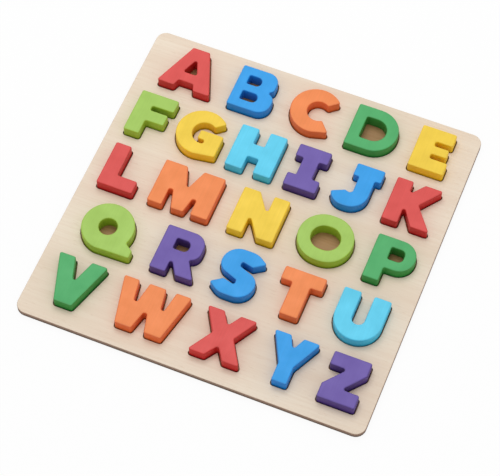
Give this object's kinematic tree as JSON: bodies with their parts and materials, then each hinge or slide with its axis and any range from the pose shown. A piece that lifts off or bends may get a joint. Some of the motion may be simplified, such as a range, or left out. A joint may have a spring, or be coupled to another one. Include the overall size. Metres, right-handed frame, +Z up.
{
  "type": "alphabet puzzle",
  "caption": "Square wooden board puzzle: chunky painted capital letters stand in shallow pockets cut to their outlines and lift straight out.",
  "frame": {"origin": "middle of the underside of the board", "axes": "+X along the rows from A towards E, +Y from the front row towards the back row, +Z up out of the faces of the letters"},
  "size_m": [0.3, 0.3, 0.015],
  "materials": {
    "birch_ply": "bare sanded birch plywood",
    "red_paint": "satin paint on sanded wood",
    "orange_paint": "satin paint on sanded wood",
    "yellow_paint": "satin paint on sanded wood",
    "lime_paint": "satin paint on sanded wood",
    "green_paint": "satin paint on sanded wood",
    "sky_paint": "satin paint on sanded wood",
    "blue_paint": "satin paint on sanded wood",
    "violet_paint": "satin paint on sanded wood"
  },
  "bodies": {
    "board": {"back_board": "birch_ply", "recess_board": "birch_ply"},
    "piece_a": {"letter_a": "red_paint"},
    "piece_b": {"letter_b": "blue_paint"},
    "piece_c": {"letter_c": "orange_paint"},
    "piece_d": {"letter_d": "green_paint"},
    "piece_e": {"letter_e": "yellow_paint"},
    "piece_f": {"letter_f": "lime_paint"},
    "piece_g": {"letter_g": "yellow_paint"},
    "piece_h": {"letter_h": "sky_paint"},
    "piece_i": {"letter_i": "violet_paint"},
    "piece_j": {"letter_j": "blue_paint"},
    "piece_k": {"letter_k": "red_paint"},
    "piece_l": {"letter_l": "red_paint"},
    "piece_m": {"letter_m": "orange_paint"},
    "piece_n": {"letter_n": "yellow_paint"},
    "piece_o": {"letter_o": "lime_paint"},
    "piece_p": {"letter_p": "green_paint"},
    "piece_q": {"letter_q": "lime_paint"},
    "piece_r": {"letter_r": "violet_paint"},
    "piece_s": {"letter_s": "blue_paint"},
    "piece_t": {"letter_t": "orange_paint"},
    "piece_u": {"letter_u": "sky_paint"},
    "piece_v": {"letter_v": "green_paint"},
    "piece_w": {"letter_w": "orange_paint"},
    "piece_x": {"letter_x": "red_paint"},
    "piece_y": {"letter_y": "blue_paint"},
    "piece_z": {"letter_z": "violet_paint"}
  },
  "joints": [
    {"name": "lift_a", "type": "slide", "parent": "board", "child": "piece_a", "axis": [0, 0, 1], "range_m": [0, 0.03]},
    {"name": "lift_b", "type": "slide", "parent": "board", "child": "piece_b", "axis": [0, 0, 1], "range_m": [0, 0.03]},
    {"name": "lift_c", "type": "slide", "parent": "board", "child": "piece_c", "axis": [0, 0, 1], "range_m": [0, 0.03]},
    {"name": "lift_d", "type": "slide", "parent": "board", "child": "piece_d", "axis": [0, 0, 1], "range_m": [0, 0.03]},
    {"name": "lift_e", "type": "slide", "parent": "board", "child": "piece_e", "axis": [0, 0, 1], "range_m": [0, 0.03]},
    {"name": "lift_f", "type": "slide", "parent": "board", "child": "piece_f", "axis": [0, 0, 1], "range_m": [0, 0.03]},
    {"name": "lift_g", "type": "slide", "parent": "board", "child": "piece_g", "axis": [0, 0, 1], "range_m": [0, 0.03]},
    {"name": "lift_h", "type": "slide", "parent": "board", "child": "piece_h", "axis": [0, 0, 1], "range_m": [0, 0.03]},
    {"name": "lift_i", "type": "slide", "parent": "board", "child": "piece_i", "axis": [0, 0, 1], "range_m": [0, 0.03]},
    {"name": "lift_j", "type": "slide", "parent": "board", "child": "piece_j", "axis": [0, 0, 1], "range_m": [0, 0.03]},
    {"name": "lift_k", "type": "slide", "parent": "board", "child": "piece_k", "axis": [0, 0, 1], "range_m": [0, 0.03]},
    {"name": "lift_l", "type": "slide", "parent": "board", "child": "piece_l", "axis": [0, 0, 1], "range_m": [0, 0.03]},
    {"name": "lift_m", "type": "slide", "parent": "board", "child": "piece_m", "axis": [0, 0, 1], "range_m": [0, 0.03]},
    {"name": "lift_n", "type": "slide", "parent": "board", "child": "piece_n", "axis": [0, 0, 1], "range_m": [0, 0.03]},
    {"name": "lift_o", "type": "slide", "parent": "board", "child": "piece_o", "axis": [0, 0, 1], "range_m": [0, 0.03]},
    {"name": "lift_p", "type": "slide", "parent": "board", "child": "piece_p", "axis": [0, 0, 1], "range_m": [0, 0.03]},
    {"name": "lift_q", "type": "slide", "parent": "board", "child": "piece_q", "axis": [0, 0, 1], "range_m": [0, 0.03]},
    {"name": "lift_r", "type": "slide", "parent": "board", "child": "piece_r", "axis": [0, 0, 1], "range_m": [0, 0.03]},
    {"name": "lift_s", "type": "slide", "parent": "board", "child": "piece_s", "axis": [0, 0, 1], "range_m": [0, 0.03]},
    {"name": "lift_t", "type": "slide", "parent": "board", "child": "piece_t", "axis": [0, 0, 1], "range_m": [0, 0.03]},
    {"name": "lift_u", "type": "slide", "parent": "board", "child": "piece_u", "axis": [0, 0, 1], "range_m": [0, 0.03]},
    {"name": "lift_v", "type": "slide", "parent": "board", "child": "piece_v", "axis": [0, 0, 1], "range_m": [0, 0.03]},
    {"name": "lift_w", "type": "slide", "parent": "board", "child": "piece_w", "axis": [0, 0, 1], "range_m": [0, 0.03]},
    {"name": "lift_x", "type": "slide", "parent": "board", "child": "piece_x", "axis": [0, 0, 1], "range_m": [0, 0.03]},
    {"name": "lift_y", "type": "slide", "parent": "board", "child": "piece_y", "axis": [0, 0, 1], "range_m": [0, 0.03]},
    {"name": "lift_z", "type": "slide", "parent": "board", "child": "piece_z", "axis": [0, 0, 1], "range_m": [0, 0.03]}
  ]
}
